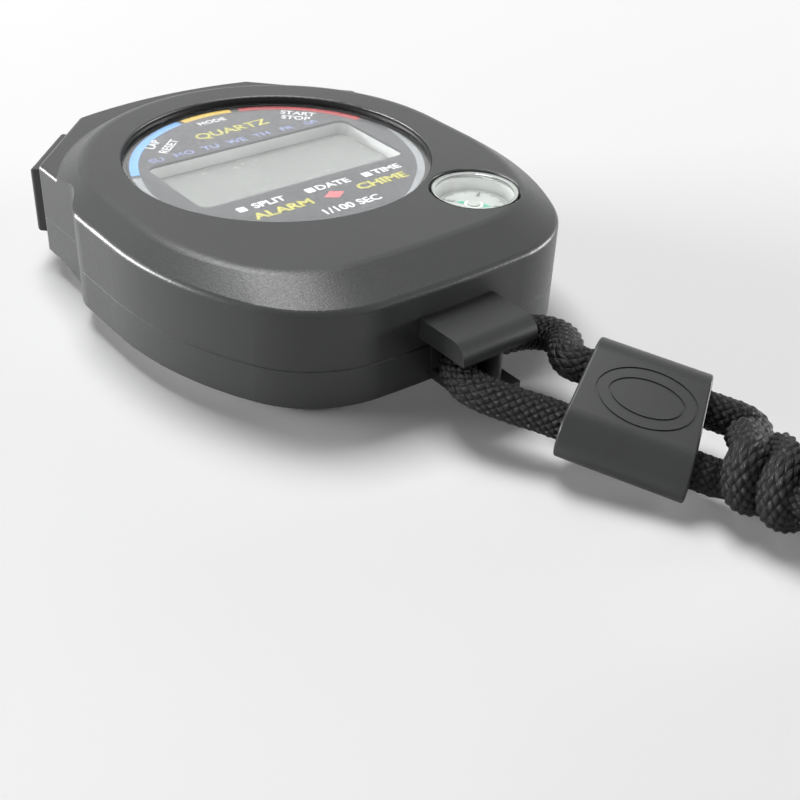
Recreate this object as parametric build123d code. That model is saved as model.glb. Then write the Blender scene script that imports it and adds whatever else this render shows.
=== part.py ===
from build123d import *
import math
import os

# Handheld sports stopwatch with liquid-crystal display, compass capsule and cord lanyard.
# Millimetres. Origin on the flat back face, under the centre of the dial.
# +X right of the face, +Y towards the buttons, -Y towards the lanyard, +Z out of the dial.

# ---------------------------------------------------------------- driving dimensions
fit = 0.05
cut_over = 1.0

# dial, lens and display
recess_radius = 23.33
dial_thickness = 0.4
lens_thickness = 0.7
lens_gap = 0.15
lens_edge = 0.2
lens_recess = 1.1
window_half_width = 18.03
window_half_height = 8.27
window_corner = 1.6
frame_collar = 0.9
frame_side_wall = 1.6
frame_end_wall = 1.9
frame_lip = 0.2
glass_border_x = 1.37
glass_border_y = 2.23
glass_thickness = 1.1
contact_ledge = 2.5
zebra_gap = 0.3
zebra_height = 4.6
zebra_inset = 1.8
reflector_thickness = 0.2
reflector_inset = 0.4

# case, plan
rim_width = 5.47
slope_run = 4.0
end_slope_run = 7.1
lug_end = 42.4
button_end = 36.3
end_corner_run = 20.3
plateau_corner_run = 16.8
end_drop = 0.4
corner_radius = 17.0
corner_heading = 60.0
corner_tighter = 2.0
block_step = 3.3
step_start = 0.3
step_radius = 8.0
shoulder_side_y = 20.5
shoulder_width = 13.5
shoulder_drop = 2.0
block_corner_radius = 1.2

# case, heights
floor_thickness = 1.8
belly_height = 3.7
belly_inset = 5.5
floor_rise = 1.4
parting_height = 9.3
wall = 1.8
roof_thickness = 1.6
dome_rise = 2.5
plateau_edge = 3.0
dome_edge = 1.0
shelf_edge = 0.8
recess_edge = 0.25
belly_edge = 2.0
parting_chamfer = 0.15

# circuit board and electrics
board_side_gap = 0.7
board_low_y = -18.0
board_high_y = 25.3
board_thickness = 1.0
board_corner_cut = 6.8
tongue_half_width = 5.0
tongue_reach = 6.0
buzzer_tongue_half = 4.0
blob_radius = 4.5
blob_height = 1.2
crystal_radius = 1.0
crystal_length = 6.0
crystal_x = 12.0
crystal_y = 9.0
cell_radius = 5.8
cell_height = 5.4
cell_step = 0.6
cell_rim = 1.5
cell_edge = 0.2
cell_y = -2.0
cell_head_room = 2.15
pocket_wall = 1.0
pocket_height = 3.6
strap_thickness = 0.25
strap_width = 3.0
strap_pad = 2.0
strap_side_gap = 0.95
buzzer_x = -10.0
buzzer_y = -25.5
buzzer_radius = 8.5
buzzer_thickness = 0.45
buzzer_leaf_offset = 1.6
buzzer_leaf_reach = 2.0
cell_leaf_x = 1.5
cell_leaf_reach = 2.5

# screws
case_screw_ys = (-13.0, 11.6)
case_boss_radius = 2.4
case_boss_gap = 0.2
case_screw_radius = 1.0
case_head_radius = 1.9
case_head_height = 1.4
case_screw_length = 11.0
board_screw_inset = 2.9
board_boss_gap = 1.0
board_boss_radius = 1.8
board_screw_radius = 0.6
board_head_radius = 1.2
board_head_height = 0.7
board_screw_length = 4.0
pilot_clearance = 0.05
pilot_spare = 0.2
driver_slot = 0.5
driver_reach = 0.62

# buttons
button_low = 5.3
button_head_room = 0.8
side_button_proud = 2.6
mode_button_proud = 1.9
button_gap = 0.2
button_flange_side = 1.4
button_flange = 1.0
button_rest_gap = 0.1
button_travel = 0.8
stem_width = 4.0
stem_length = 2.4
stem_lift = 0.35
stem_height = 2.45
contact_gap = 0.1
contact_height = 3.2
contact_foot = 2.5
side_button_width = 14.0
mode_button_width = 11.0
side_ribs = 3
rib_pitch = 2.4
rib_height = 0.35
rib_width = 1.0
rib_end_gap = 1.5
button_edge = 0.7

# compass: heights are counted down from the plateau
compass_heading = -57.4
compass_bridge = 0.95
capsule_gap = 0.45
capsule_radius = 6.3
capsule_wall = 0.6
capsule_depth = 6.1
capsule_split_depth = 1.2
capsule_drop = 0.25
capsule_crown = 0.5
compass_well_wall = 1.1
compass_well_floor = 1.0
card_depth = 3.2
card_gap = 0.6
card_thickness = 0.25
hub_radius = 1.0
hub_drop = 0.6
hub_rise = 0.45
pivot_radius = 0.34
pivot_clearance = 0.06
pivot_rise = 0.1
pivot_top_gap = 0.02
magnet_length = 7.0
magnet_width = 3.0
magnet_thickness = 0.5

# seal between the housings
seal_inset = 0.55
seal_width = 0.7
seal_depth = 0.6

# cord
cord_diameter = 5.0
run_share = 0.45

# lanyard lug
lug_half_width = 6.4
lug_reach = 9.1
lug_plate = 2.9
lug_nose_radius = 2.4
lug_post_reach = 7.2
lug_post_radius = 1.6
lug_cord_gap = 0.35
lug_shelf_top = 5.5
lug_shelf_thickness = 1.4
lug_shelf_lip = 0.4
lug_tongue_half = 4.0
lug_tongue_lift = 1.5
lug_tongue_height = 4.6
lug_back = 0.2
lug_flange_extra = 1.6
lug_flange_thickness = 1.2

# slider on the cord
slider_width = 18.0
slider_thickness = 8.5
slider_length = 17.0
slider_centre = (8.9, -68.5, 7.25)
slider_heading = 0.50
slider_pitch = -0.11
slider_tilt = 0.37
slider_slant = 2.2
slider_edge = 0.35
slider_lead = 3.0
slot_gap = 0.55
cord_spacing = 9.2
emblem_width = 13.0
emblem_height = 9.0
emblem_line = 0.4
emblem_depth = 0.15
emblem_step = 1.6

# knot and coil
knot_centre = (15.3, -90.0, 8.4)
knot_heading = 0.20
knot_turns = 3
knot_pitch = 4.6
knot_ring_radius = 4.7
knot_strand_radius = 3.4
knot_core_extra = 1.0
coil_centre = (29.0, -137.0)
coil_mean_radius = 27.0
coil_layers = 2
coil_columns = 2
coil_corner = 2.4

# cord routes: points chosen by hand, each run within about twice its neighbours
strand_start = (3.0, -45.25, 8.5)
right_route = [(9.2, -45.4, 8.7), (12.2, -51.4, 9.4)]
right_knot_route = [(17.2, -82.0, 9.0), (17.5, -87.0, 8.8)]
left_route = [(-2.6, -45.2, 8.4), (-5.9, -51.0, 8.1), (-2.4, -57.4, 7.2)]
left_knot_route = [(11.5, -84.0, 6.9), (11.8, -88.5, 7.6)]
tail_out_route = [(13.5, -95.5, 7.2), (11.8, -103.0, 5.6), (7.2, -111.5, 3.3), (2.6, -121.0, 2.55),
                  (0.1, -130.9, 2.5)]
tail_back_route = [(18.6, -95.0, 8.6), (19.6, -101.0, 8.8), (22.8, -105.9, 8.5), (28.5, -107.5, 7.8),
                   (36.1, -108.4, 7.5)]


# ---------------------------------------------------------------- sizes that follow
# heights, from the back face up
cell_bottom = floor_thickness + strap_thickness
cell_top = cell_bottom + cell_height
board_bottom = cell_top + cell_head_room
board_top = board_bottom + board_thickness
rear_glass_top = board_top + zebra_height
rear_glass_bottom = rear_glass_top - glass_thickness
glass_top = rear_glass_top + glass_thickness
cavity_top = glass_top + frame_lip
ledge_height = cavity_top + roof_thickness
plateau_height = ledge_height + dial_thickness + lens_thickness + lens_recess
shelf_height = plateau_height - dome_rise

# display and its frame
glass_half_width = window_half_width + glass_border_x
glass_half_height = window_half_height + glass_border_y
rear_glass_half_height = glass_half_height - contact_ledge
zebra_width = contact_ledge - 2 * zebra_gap
zebra_half_length = glass_half_width - zebra_inset
zebra_y = (rear_glass_half_height + glass_half_height) / 2
frame_half_width = glass_half_width + frame_side_wall
frame_half_height = glass_half_height + frame_end_wall

# case, from the dial outwards
plateau_half_width = recess_radius + rim_width
plateau_end = lug_end - end_slope_run
plateau_corner_radius = corner_radius - corner_tighter
case_half_width = plateau_half_width + slope_run
end_flat_half = case_half_width - end_corner_run
plateau_flat_half = plateau_half_width - plateau_corner_run
block_half_width = case_half_width - block_step
shoulder_top_x = block_half_width - shoulder_width
shoulder_top_y = button_end - shoulder_drop

# board and screws
board_half_width = frame_half_width - board_side_gap
case_screw_x = frame_half_width + case_boss_radius + case_boss_gap
case_screw_places = [(side * case_screw_x, y) for side in (-1, 1) for y in case_screw_ys]
board_screw_x = board_half_width - board_screw_inset
board_screw_y = frame_half_height + board_boss_radius + board_boss_gap
board_screw_places = [(i * board_screw_x, j * board_screw_y) for i in (-1, 1) for j in (-1, 1)]

# buttons
button_high = cavity_top - button_head_room
button_height = button_high - button_low
button_middle = (button_low + button_high) / 2
stem_low = board_top + stem_lift
stem_high = stem_low + stem_height

# compass
compass_hole_radius = capsule_radius + capsule_gap
compass_distance = recess_radius + compass_hole_radius + compass_bridge
compass_x = compass_distance * math.cos(math.radians(compass_heading))
compass_y = compass_distance * math.sin(math.radians(compass_heading))
capsule_bottom = plateau_height - capsule_depth
capsule_split = plateau_height - capsule_split_depth
capsule_rim = plateau_height - capsule_drop
card_height = plateau_height - card_depth
card_radius = capsule_radius - capsule_wall - card_gap
hub_low = card_height - hub_drop
hub_high = card_height + hub_rise
pivot_top = card_height + pivot_rise

# lug
lug_hood_low = lug_shelf_top + cord_diameter + 2 * lug_cord_gap
lug_top = lug_hood_low + lug_plate
lug_post_y = -lug_end - lug_post_reach
lug_tongue_low = lug_shelf_top + lug_tongue_lift
lug_tongue_high = lug_tongue_low + lug_tongue_height


# ---------------------------------------------------------------- helpers
def direction(heading_deg):
    """Unit vector in the plan for a heading counted from +X."""
    a = math.radians(heading_deg)
    return Vector(math.cos(a), math.sin(a))


def turn(start, heading_from, heading_to, radius):
    """Arc that starts at a heading and bends to another; returns the arc and its end."""
    side = 1 if heading_to > heading_from else -1
    centre = start + direction(heading_from + 90 * side) * radius
    middle = centre + direction((heading_from + heading_to) / 2 - 90 * side) * radius
    end = centre + direction(heading_to - 90 * side) * radius
    return ThreePointArc(start, middle, end), end


def mirrored_face(edges):
    """Closed face from the edges of its right-hand half."""
    left = [mirror(edge, Plane.YZ) for edge in edges]
    return make_face(edges + left)


def lower_half(half_width, end_y, flat_half, drop, radius):
    """Right half of the lanyard end: gently bowed end, corner arc and long side arc."""
    bow_radius = (flat_half ** 2 + drop ** 2) / (2 * drop)
    bow_heading = math.degrees(math.asin(flat_half / bow_radius))
    bow, p1 = turn(Vector(0, -end_y), 0, bow_heading, bow_radius)
    corner, p2 = turn(p1, bow_heading, corner_heading, radius)
    side_radius = (half_width - p2.X) / (1 - math.sin(math.radians(corner_heading)))
    side, p3 = turn(p2, corner_heading, 90, side_radius)
    return [bow, corner, side], p3


def crown_radius():
    """Radius of the bowed wall between the shoulders."""
    drop = button_end - shoulder_top_y
    return (shoulder_top_x ** 2 + drop ** 2) / (2 * drop)


def crown_y(x):
    return button_end - crown_radius() + math.sqrt(crown_radius() ** 2 - x ** 2)


def case_face(inset=0.0):
    """Plan outline of the case, with its button block, moved inwards by inset."""
    edges, p3 = lower_half(case_half_width, lug_end, end_flat_half, end_drop, corner_radius)
    step = case_half_width - block_half_width
    swing = math.degrees(math.acos(1 - step / (2 * step_radius)))
    p4 = Vector(case_half_width, step_start)
    out, p5 = turn(p4, 90, 90 + swing, step_radius)
    back, p6 = turn(p5, 90 + swing, 90, step_radius)
    low = Vector(block_half_width, shoulder_side_y)
    high = Vector(shoulder_top_x, shoulder_top_y)
    half = shoulder_top_x / 2
    crown_middle = Vector(half, crown_y(half))
    edges += [Line(p3, p4), out, back, Line(p6, low), Line(low, high)]
    edges += [ThreePointArc(high, crown_middle, Vector(0, button_end))]
    face = mirrored_face(edges)
    corners = [v for v in face.vertices() if v.Y > shoulder_side_y - fit and abs(v.X) > fit]
    face = fillet(corners, block_corner_radius)
    return offset(face, -inset, kind=Kind.INTERSECTION) if inset else face


def egg_face(half_width, end_y, flat_half, radius):
    """Outline of the raised dome: the case's lanyard end closed by a half circle."""
    edges, p3 = lower_half(half_width, end_y, flat_half, end_drop, radius)
    widest = Vector(half_width, 0)
    half_circle, _ = turn(widest, 90, 180, half_width)
    return mirrored_face(edges + [Line(p3, widest), half_circle])


def prism(face, low, high):
    return Pos(0, 0, low) * extrude(face, high - low, dir=(0, 0, 1))


def post(x, y, radius, low, high):
    return Pos(x, y, low) * Cylinder(radius, high - low, align=(Align.CENTER, Align.CENTER, Align.MIN))


def block(x_low, x_high, y_low, y_high, z_low, z_high):
    size = (x_high - x_low, y_high - y_low, z_high - z_low)
    return Pos(x_low, y_low, z_low) * Box(*size, align=(Align.MIN, Align.MIN, Align.MIN))


def slab(half_width, half_height, low, high, corner=0.0):
    size = (2 * half_width, 2 * half_height)
    face = RectangleRounded(*size, corner) if corner else Rectangle(*size)
    return prism(face, low, high)


# ---------------------------------------------------------------- button places
def facet_plane(outward_x, outward_y, x, y):
    """Plane on a wall of the block: X along the wall, Y up, Z outwards."""
    outward = Vector(outward_x, outward_y, 0).normalized()
    along = Vector(0, 0, 1).cross(outward) * -1
    return Plane(origin=(x, y, button_middle), x_dir=-along, z_dir=outward)


facet_x = (block_half_width + shoulder_top_x) / 2
facet_y = (shoulder_side_y + shoulder_top_y) / 2
facet_run = block_half_width - shoulder_top_x
facet_rise = shoulder_top_y - shoulder_side_y
button_places = {
    "left": (facet_plane(-facet_rise, facet_run, -facet_x, facet_y), side_button_width, side_button_proud),
    "mode": (facet_plane(0, 1, 0, crown_y(mode_button_width / 2 + button_flange_side)),
             mode_button_width, mode_button_proud),
    "right": (facet_plane(facet_rise, facet_run, facet_x, facet_y), side_button_width, side_button_proud),
}


def local_box(width, low, high, depth_from, depth_to):
    """Box on a facet plane: width along it, heights in case Z, depths inwards from the wall."""
    size = (width, high - low, depth_to - depth_from)
    centre = ((low + high) / 2 - button_middle, -(depth_from + depth_to) / 2)
    return Pos(0, *centre) * Box(*size)


def button(width, proud, ribs):
    flange_at = wall + button_rest_gap
    stem_at = flange_at + button_flange
    cap = local_box(width, button_low, button_high, -proud, stem_at)
    cap = fillet(cap.edges().group_by(Axis.Z)[-1], button_edge)
    flange = local_box(width + 2 * button_flange_side, button_low, button_high, flange_at, stem_at)
    stem = local_box(stem_width, stem_low, stem_high, stem_at, stem_at + stem_length)
    body = cap + flange + stem
    for i in range(ribs):
        at = (i - (ribs - 1) / 2) * rib_pitch
        rib = Pos(at, 0, proud) * Box(rib_width, button_height - 2 * rib_end_gap, 2 * rib_height)
        body += fillet(rib.edges().filter_by(Axis.Y), 0.8 * rib_height)
    return body


def button_contact():
    """Spring leaf on the board, which the pressed stem reaches."""
    tip = wall + button_rest_gap + button_flange + stem_length
    leaf_at = tip + button_travel + contact_gap
    leaf = local_box(stem_width, board_top, board_top + contact_height, leaf_at, leaf_at + strap_thickness)
    foot_top = board_top + strap_thickness
    foot = local_box(stem_width, board_top, foot_top, leaf_at, leaf_at + contact_foot)
    return leaf + foot


# ---------------------------------------------------------------- housings
def lug_slot(gap):
    half = lug_tongue_half + gap
    y_high = -lug_end + wall + cut_over
    return block(-half, half, -lug_end - cut_over, y_high, lug_tongue_low - gap, lug_tongue_high + gap)


def wall_openings():
    cuts = [lug_slot(fit)]
    low = button_low - button_gap
    high = button_high + button_gap
    for plane, width, proud in button_places.values():
        hole = local_box(width + 2 * button_gap, low, high, -proud - cut_over, wall + button_gap)
        cuts.append(plane * hole)
    return cuts


def level_edges(solid, height):
    """Edges of a solid that lie flat at a height."""
    return solid.edges().filter_by_position(Axis.Z, height, height)


def raised_dome():
    """Plateau that carries the lens, with a short skirt and soft rims."""
    low = egg_face(case_half_width, lug_end, end_flat_half, corner_radius)
    high = egg_face(plateau_half_width, plateau_end, plateau_flat_half, plateau_corner_radius)
    dome = loft([Pos(0, 0, shelf_height) * low, Pos(0, 0, plateau_height) * high], ruled=True)
    dome = fillet(level_edges(dome, plateau_height), plateau_edge)
    dome += prism(low, shelf_height - shelf_edge, shelf_height)
    dome = fillet(level_edges(dome, shelf_height), dome_edge)
    return dome & prism(case_face(), parting_height, plateau_height + cut_over)


def front_housing():
    body = prism(case_face(), parting_height, shelf_height)
    body = fillet(level_edges(body, shelf_height), shelf_edge)
    body = chamfer(level_edges(body, parting_height), parting_chamfer)
    body += raised_dome()
    body -= prism(case_face(wall), parting_height, cavity_top)
    for x, y in case_screw_places:
        body += post(x, y, case_boss_radius, parting_height, cavity_top)
        pilot_top = case_head_height + case_screw_length + pilot_spare
        body -= post(x, y, case_screw_radius + pilot_clearance, parting_height, pilot_top)
    for x, y in board_screw_places:
        body += post(x, y, board_boss_radius, board_top, cavity_top)
        body -= post(x, y, board_screw_radius + pilot_clearance, board_top, board_top + board_screw_length)
    well = compass_hole_radius + compass_well_wall
    body += post(compass_x, compass_y, well, capsule_bottom - compass_well_floor, cavity_top)
    body -= post(compass_x, compass_y, compass_hole_radius, capsule_bottom, plateau_height + cut_over)
    body -= post(0, 0, recess_radius, ledge_height, plateau_height + cut_over)
    collar = frame_collar + fit
    body -= slab(window_half_width + collar, window_half_height + collar, cavity_top - cut_over,
                 ledge_height, window_corner)
    for cut in wall_openings():
        body -= cut
    rims = level_edges(body, plateau_height).filter_by(GeomType.CIRCLE)
    holes = [e for e in rims if min(abs(e.radius - r) for r in (recess_radius, compass_hole_radius)) < fit]
    return fillet(holes, recess_edge)


def rear_housing():
    outline = case_face()
    high = egg_face(case_half_width, lug_end, end_flat_half, corner_radius)
    low_radius = corner_radius - belly_inset
    low = egg_face(case_half_width - belly_inset, lug_end - belly_inset, end_flat_half, low_radius)
    belly = loft([low, Pos(0, 0, belly_height) * high], ruled=True)
    belly = fillet(level_edges(belly, 0), belly_edge)
    body = prism(outline, belly_height, parting_height)
    body = chamfer(level_edges(body, parting_height), parting_chamfer)
    body += belly & prism(outline, 0, belly_height)
    body -= prism(case_face(wall), belly_height + floor_rise, parting_height)
    body -= prism(case_face(wall) & low, floor_thickness, belly_height + floor_rise)
    seal = case_face(seal_inset - fit) - case_face(seal_inset + seal_width + fit)
    body -= prism(seal, parting_height - seal_depth, parting_height)
    for x, y in case_screw_places:
        body += post(x, y, case_boss_radius, floor_thickness, parting_height)
        body -= post(x, y, case_screw_radius + pilot_clearance, 0, parting_height)
        body -= post(x, y, case_head_radius + fit, 0, case_head_height)
    pocket_top = floor_thickness + pocket_height
    pocket = post(0, cell_y, cell_radius + fit + pocket_wall, floor_thickness, pocket_top)
    pocket -= post(0, cell_y, cell_radius + fit, floor_thickness, pocket_top)
    arm_half = strap_width / 2 + fit
    pocket -= block(0, cell_radius + pocket_wall + cut_over, cell_y - arm_half, cell_y + arm_half,
                    floor_thickness, pocket_top)
    body += pocket
    for cut in wall_openings():
        body -= cut
    return body


def case_seal():
    ring = case_face(seal_inset) - case_face(seal_inset + seal_width)
    ring = prism(ring, parting_height - seal_depth, parting_height)
    for cut in wall_openings():
        ring -= cut
    return ring


# ---------------------------------------------------------------- dial, lens and display
def lens():
    low = ledge_height + dial_thickness
    disc = post(0, 0, recess_radius - lens_gap, low, low + lens_thickness)
    return fillet(disc.edges().group_by(Axis.Z)[-1], lens_edge)


def dial_plate():
    plate = post(0, 0, recess_radius - lens_gap, ledge_height, ledge_height + dial_thickness)
    return plate - slab(window_half_width, window_half_height, cavity_top, plateau_height, window_corner)


def lcd_frame():
    """Frame that holds the display against the dial and the board against the display."""
    body = slab(frame_half_width, frame_half_height, board_top, cavity_top)
    body += slab(window_half_width + frame_collar, window_half_height + frame_collar, cavity_top,
                 ledge_height, window_corner)
    body -= slab(glass_half_width + fit, glass_half_height + fit, board_top, glass_top)
    body -= slab(window_half_width, window_half_height, glass_top - cut_over,
                 ledge_height + cut_over, window_corner)
    return body


def zebra_strip(side):
    return block(-zebra_half_length, zebra_half_length, side * zebra_y - zebra_width / 2,
                 side * zebra_y + zebra_width / 2, board_top, rear_glass_top)


# ---------------------------------------------------------------- circuit board and electrics
def circuit_board():
    board = block(-board_half_width, board_half_width, board_low_y, board_high_y, board_bottom, board_top)
    corners = [e for e in board.edges().filter_by(Axis.Z) if e.center().Y > 0]
    board = chamfer(corners, board_corner_cut)
    board += block(-tongue_half_width, tongue_half_width, board_high_y, board_high_y + tongue_reach,
                   board_bottom, board_top)
    board += block(buzzer_x - buzzer_tongue_half, buzzer_x + buzzer_tongue_half, buzzer_y, board_low_y,
                   board_bottom, board_top)
    for x, y in board_screw_places:
        board -= post(x, y, board_screw_radius + pilot_clearance, board_bottom, board_top)
    return board


def chip_blob():
    dome_radius = (blob_radius ** 2 + blob_height ** 2) / (2 * blob_height)
    ball = Pos(0, 0, board_top + blob_height - dome_radius) * Sphere(dome_radius)
    return ball & post(0, 0, dome_radius, board_top, board_top + blob_height)


def crystal():
    place = Pos(crystal_x, crystal_y, board_bottom - crystal_radius) * Rot(90, 0, 0)
    can = place * Cylinder(crystal_radius, crystal_length)
    return fillet(can.edges().filter_by(GeomType.CIRCLE), crystal_radius / 4)


def battery_cell():
    can = post(0, cell_y, cell_radius, cell_bottom, cell_top - cell_step)
    can = fillet(can.edges().filter_by(GeomType.CIRCLE), 2 * cell_edge)
    cap = post(0, cell_y, cell_radius - cell_rim, cell_top - cell_step, cell_top)
    return can + fillet(cap.edges().group_by(Axis.Z)[-1], cell_edge)


def positive_contact():
    """Strap under the cell that rises beside it to the board."""
    y_low = cell_y - strap_width / 2
    y_high = cell_y + strap_width / 2
    out = cell_radius + strap_side_gap + strap_thickness
    plate = block(-strap_pad, out, y_low, y_high, floor_thickness, cell_bottom)
    arm = block(out - strap_thickness, out, y_low, y_high, floor_thickness, board_bottom)
    foot = block(out, out + strap_pad, y_low, y_high, board_bottom - strap_thickness, board_bottom)
    return plate + arm + foot


def leaf_between(x, y, low, reach):
    """Bent leaf up to the board, in the XZ plane: a pad on top, a sloping spring and a pad below."""
    t = strap_thickness
    high = board_bottom
    upper = [(x + reach, high), (x, high), (x - reach, low + t), (x - 2 * reach, low + t)]
    lower = [(x - 2 * reach, low), (x - reach + t, low), (x + t, high - t), (x + reach, high - t)]
    strip = make_face(Polyline(*[(px, 0, pz) for px, pz in upper + lower], close=True))
    return Pos(0, y + strap_width / 2, 0) * extrude(strip, strap_width, dir=(0, -1, 0))


def negative_contact():
    return leaf_between(cell_leaf_x, cell_y, cell_top, cell_leaf_reach)


def buzzer_disc():
    return post(buzzer_x, buzzer_y, buzzer_radius, floor_thickness, floor_thickness + buzzer_thickness)


def buzzer_contact():
    x = buzzer_x + buzzer_leaf_offset
    y = buzzer_y + buzzer_leaf_offset
    return leaf_between(x, y, floor_thickness + buzzer_thickness, buzzer_leaf_reach)


def screws(places, radius, head_radius, head_height, seat, length):
    """Group of like cross-slot screws, heads below the seat and shanks above it."""
    group = []
    for x, y in places:
        head_low = seat - head_height
        screw = post(x, y, head_radius, head_low, seat) + post(x, y, radius, seat, seat + length)
        for long_x, long_y in ((1, 0), (0, 1)):
            half_x = driver_reach * head_radius if long_x else driver_slot / 2
            half_y = driver_reach * head_radius if long_y else driver_slot / 2
            slot_top = head_low + head_height / 2
            screw -= block(x - half_x, x + half_x, y - half_y, y + half_y, head_low, slot_top)
        group.append(screw)
    return Compound(children=group)


# ---------------------------------------------------------------- compass
def centre_post(radius, low, high):
    return post(compass_x, compass_y, radius, low, high)


def compass_cup():
    cup = centre_post(capsule_radius, capsule_bottom, capsule_split)
    return cup - centre_post(capsule_radius - capsule_wall, capsule_bottom + capsule_wall, capsule_split)


def compass_dome():
    outer = crowned(capsule_radius, capsule_split, capsule_rim, capsule_crown)
    inner = crowned(capsule_radius - capsule_wall, capsule_split, capsule_rim - capsule_wall, capsule_crown)
    return outer - inner


def crowned(radius, low, rim, crown):
    ball_radius = (radius ** 2 + crown ** 2) / (2 * crown)
    ball = Pos(compass_x, compass_y, rim + crown - ball_radius) * Sphere(ball_radius)
    return centre_post(radius, low, rim + crown) & ball


def compass_pivot():
    pin = centre_post(pivot_radius, capsule_bottom + capsule_wall, pivot_top)
    foot = centre_post(4 * pivot_radius, capsule_bottom + capsule_wall, capsule_bottom + 2 * capsule_wall)
    return pin + foot


def compass_card():
    bore = pivot_radius + pivot_clearance
    card = centre_post(card_radius, card_height, card_height + card_thickness)
    card += centre_post(hub_radius, hub_low, hub_high)
    return card - centre_post(bore, hub_low, pivot_top + pivot_top_gap)


def compass_magnet():
    bar = block(compass_x - magnet_width / 2, compass_x + magnet_width / 2, compass_y - magnet_length / 2,
                compass_y + magnet_length / 2, card_height - magnet_thickness, card_height)
    return bar - centre_post(hub_radius, card_height - magnet_thickness, card_height)


# ---------------------------------------------------------------- lanyard lug
def lanyard_lug():
    """Hood over a post: the cord loops round the post, held between hood and shelf."""
    wall_y = -lug_end
    hood = block(-lug_half_width, lug_half_width, wall_y - lug_reach, wall_y, lug_hood_low, lug_top)
    nose = hood.edges().filter_by(Axis.X).sort_by(Axis.Y)[:2].sort_by(Axis.Z)[-1:]
    hood = fillet(nose, lug_nose_radius)
    shelf_reach = wall_y - lug_post_y + lug_post_radius + lug_shelf_lip
    shelf = block(-lug_tongue_half, lug_tongue_half, wall_y - shelf_reach, wall_y,
                  lug_shelf_top - lug_shelf_thickness, lug_shelf_top)
    pin = post(0, lug_post_y, lug_post_radius, lug_shelf_top, lug_hood_low)
    back = block(-lug_tongue_half, lug_tongue_half, wall_y - lug_back, wall_y + end_drop,
                 lug_shelf_top - lug_shelf_thickness, lug_top)
    inner_y = wall_y + wall + fit
    tongue = block(-lug_tongue_half, lug_tongue_half, wall_y, inner_y, lug_tongue_low, lug_tongue_high)
    inner = lug_tongue_half + lug_flange_extra
    flange = block(-inner, inner, inner_y, inner_y + lug_flange_thickness,
                   lug_tongue_low - lug_flange_extra, lug_tongue_high + lug_flange_extra)
    case_wall = prism(case_face() - case_face(wall), 0, shelf_height) - lug_slot(0)
    return hood + shelf + pin + back + tongue + flange - case_wall


# ---------------------------------------------------------------- cord slider
slider_axis = Vector(math.sin(slider_heading) * math.cos(slider_pitch),
                     -math.cos(slider_heading) * math.cos(slider_pitch), math.sin(slider_pitch))
level_side = Vector(math.cos(slider_heading), math.sin(slider_heading), 0)
slider_side = level_side * math.cos(slider_tilt) + slider_axis.cross(level_side) * math.sin(slider_tilt)
slider_plane = Plane(origin=slider_centre, x_dir=slider_side, z_dir=slider_axis)


def in_slider(along, across):
    """Case position of a point of the slider's slot, counted from its middle."""
    return Vector(*slider_centre) + slider_axis * along + slider_side * across


def stadium(width, height, length):
    return extrude(SlotOverall(width, height), length / 2, both=True)


def cord_slider():
    body = stadium(slider_width, slider_thickness, slider_length)
    slant = Plane(origin=(-slider_width / 2, 0, slider_length / 2), z_dir=(slider_slant, 0, slider_width))
    body = split(body, slant, keep=Keep.BOTTOM)
    ends = body.faces().sort_by(Axis.Z)
    body = fillet(ends[0].edges() + ends[-1].edges(), slider_edge)
    slot_height = cord_diameter + 2 * slot_gap
    cut_length = slider_length + cut_over
    body -= stadium(cord_spacing + slot_height, slot_height, cut_length)
    unmarked = stadium(slider_width + cut_over, slider_thickness - 2 * emblem_depth, cut_length)
    for inset in (0, emblem_step):
        half_x = emblem_height / 2 - inset
        half_y = emblem_width / 2 - inset
        rim = Ellipse(half_x, half_y) - Ellipse(half_x - emblem_line, half_y - emblem_line)
        body -= extrude(Plane.XZ * rim, slider_thickness, dir=(0, 1, 0)) - unmarked
    return slider_plane * body


# ---------------------------------------------------------------- cord, knot and coil
def cord_tube(name, points):
    """Straight runs joined by tangent arcs, each as large as its two runs allow."""
    points = [Vector(*p) for p in points]
    radii = []
    for before, corner, after in zip(points, points[1:], points[2:]):
        run_in = corner - before
        run_out = after - corner
        half_turn = math.radians(run_in.get_angle(run_out)) / 2
        radii.append(run_share * min(run_in.length, run_out.length) / math.tan(half_turn))
    path = FilletPolyline(*points, radius=radii)
    section = Plane(origin=path @ 0, z_dir=path % 0) * Circle(cord_diameter / 2)
    tube = sweep(section, path)
    expected = math.pi * cord_diameter ** 2 / 4 * path.length
    print(name, "length", round(path.length, 1), "radii", [round(r, 1) for r in radii],
          "volume ratio", round(tube.volume / expected, 4))
    return tube


slider_margin = slider_length / 2 + slider_lead
right_straight = [in_slider(along, cord_spacing / 2) for along in (-slider_margin, slider_margin)]
left_straight = [in_slider(along, -cord_spacing / 2) for along in (-slider_margin, slider_margin)]
right_strand_points = [strand_start, *right_route, *right_straight, *right_knot_route]
left_strand_points = [strand_start, *left_route, *left_straight, *left_knot_route]


def lanyard_knot():
    axis = Vector(math.sin(knot_heading), -math.cos(knot_heading), 0)
    place = Plane(origin=knot_centre, z_dir=axis)
    span = (knot_turns - 1) * knot_pitch
    body = Cylinder(knot_ring_radius + knot_core_extra, span)
    for i in range(knot_turns):
        body += Pos(0, 0, i * knot_pitch - span / 2) * Torus(knot_ring_radius, knot_strand_radius)
    return place * body


def lanyard_coil():
    width = coil_columns * cord_diameter
    height = coil_layers * cord_diameter
    section = Pos(coil_mean_radius, height / 2) * RectangleRounded(width, height, coil_corner)
    ring = revolve(Plane.XZ * section, Axis.Z)
    return Pos(coil_centre[0], coil_centre[1], 0) * ring


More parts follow.
